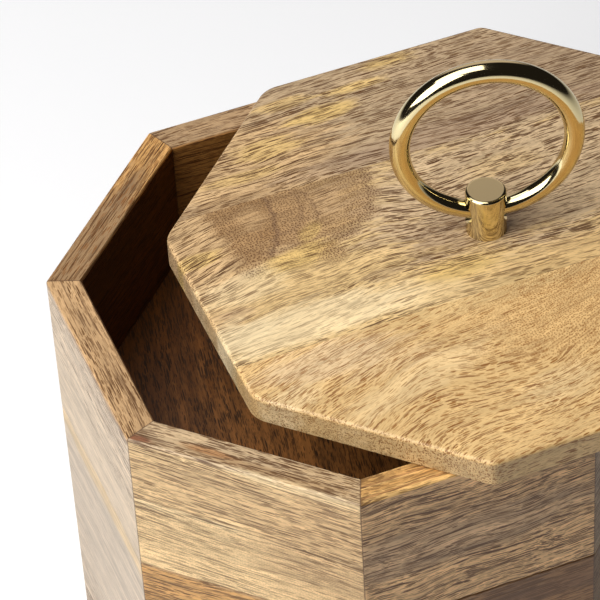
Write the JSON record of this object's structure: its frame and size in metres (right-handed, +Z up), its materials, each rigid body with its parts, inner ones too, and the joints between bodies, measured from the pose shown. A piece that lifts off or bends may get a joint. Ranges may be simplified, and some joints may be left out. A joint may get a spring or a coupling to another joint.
{
  "type": "octagonal wooden box",
  "caption": "Octagonal mitred wooden box with a shallow lift-off tray stacked on a deeper box and a loose flat lid with a brass ring pull.",
  "frame": {"origin": "centre of the deep box's underside, on the surface it stands on", "axes": "+Z up; -Y is the wall that the picture shows front right; the lid's boards run along X"},
  "size_m": [0.1835, 0.1575, 0.1919],
  "materials": {
    "box_wood": "oiled, open-pored, lively grain",
    "floor_wood": "oiled, open-pored",
    "lid_wood": "oiled, open-pored, lively grain",
    "screw_steel": "zinc plated",
    "ring_brass": "polished"
  },
  "bodies": {
    "deep_box": {"base_wall_east": "box_wood", "base_wall_northeast": "box_wood", "base_wall_north": "box_wood", "base_wall_northwest": "box_wood", "base_wall_west": "box_wood", "base_wall_southwest": "box_wood", "base_wall_south": "box_wood", "base_wall_southeast": "box_wood", "base_floor": "floor_wood"},
    "tray": {"tray_wall_east": "box_wood", "tray_wall_northeast": "box_wood", "tray_wall_north": "box_wood", "tray_wall_northwest": "box_wood", "tray_wall_west": "box_wood", "tray_wall_southwest": "box_wood", "tray_wall_south": "box_wood", "tray_wall_southeast": "box_wood", "tray_floor": "floor_wood"},
    "lid": {"lid_board_rear": "lid_wood", "lid_board_middle": "lid_wood", "lid_board_front": "lid_wood", "lid_screw": "screw_steel", "knob_post": "ring_brass"},
    "ring": {"ring_pull": "ring_brass"}
  },
  "joints": [
    {"name": "tray_lift", "type": "slide", "parent": "deep_box", "child": "tray", "axis": [0, 0, 1], "range_m": [0, 0.06]},
    {"name": "lid_slide", "type": "slide", "parent": "tray", "child": "lid", "axis": [0.982, -0.1891, 0], "range_m": [-0.0328, 0.027]},
    {"name": "ring_swing", "type": "hinge", "parent": "lid", "child": "ring", "pos_m": [0.03258, -0.00495, 0.14465], "axis": [0.9659, -0.2588, 0], "range_deg": [-91.5, 94]}
  ]
}
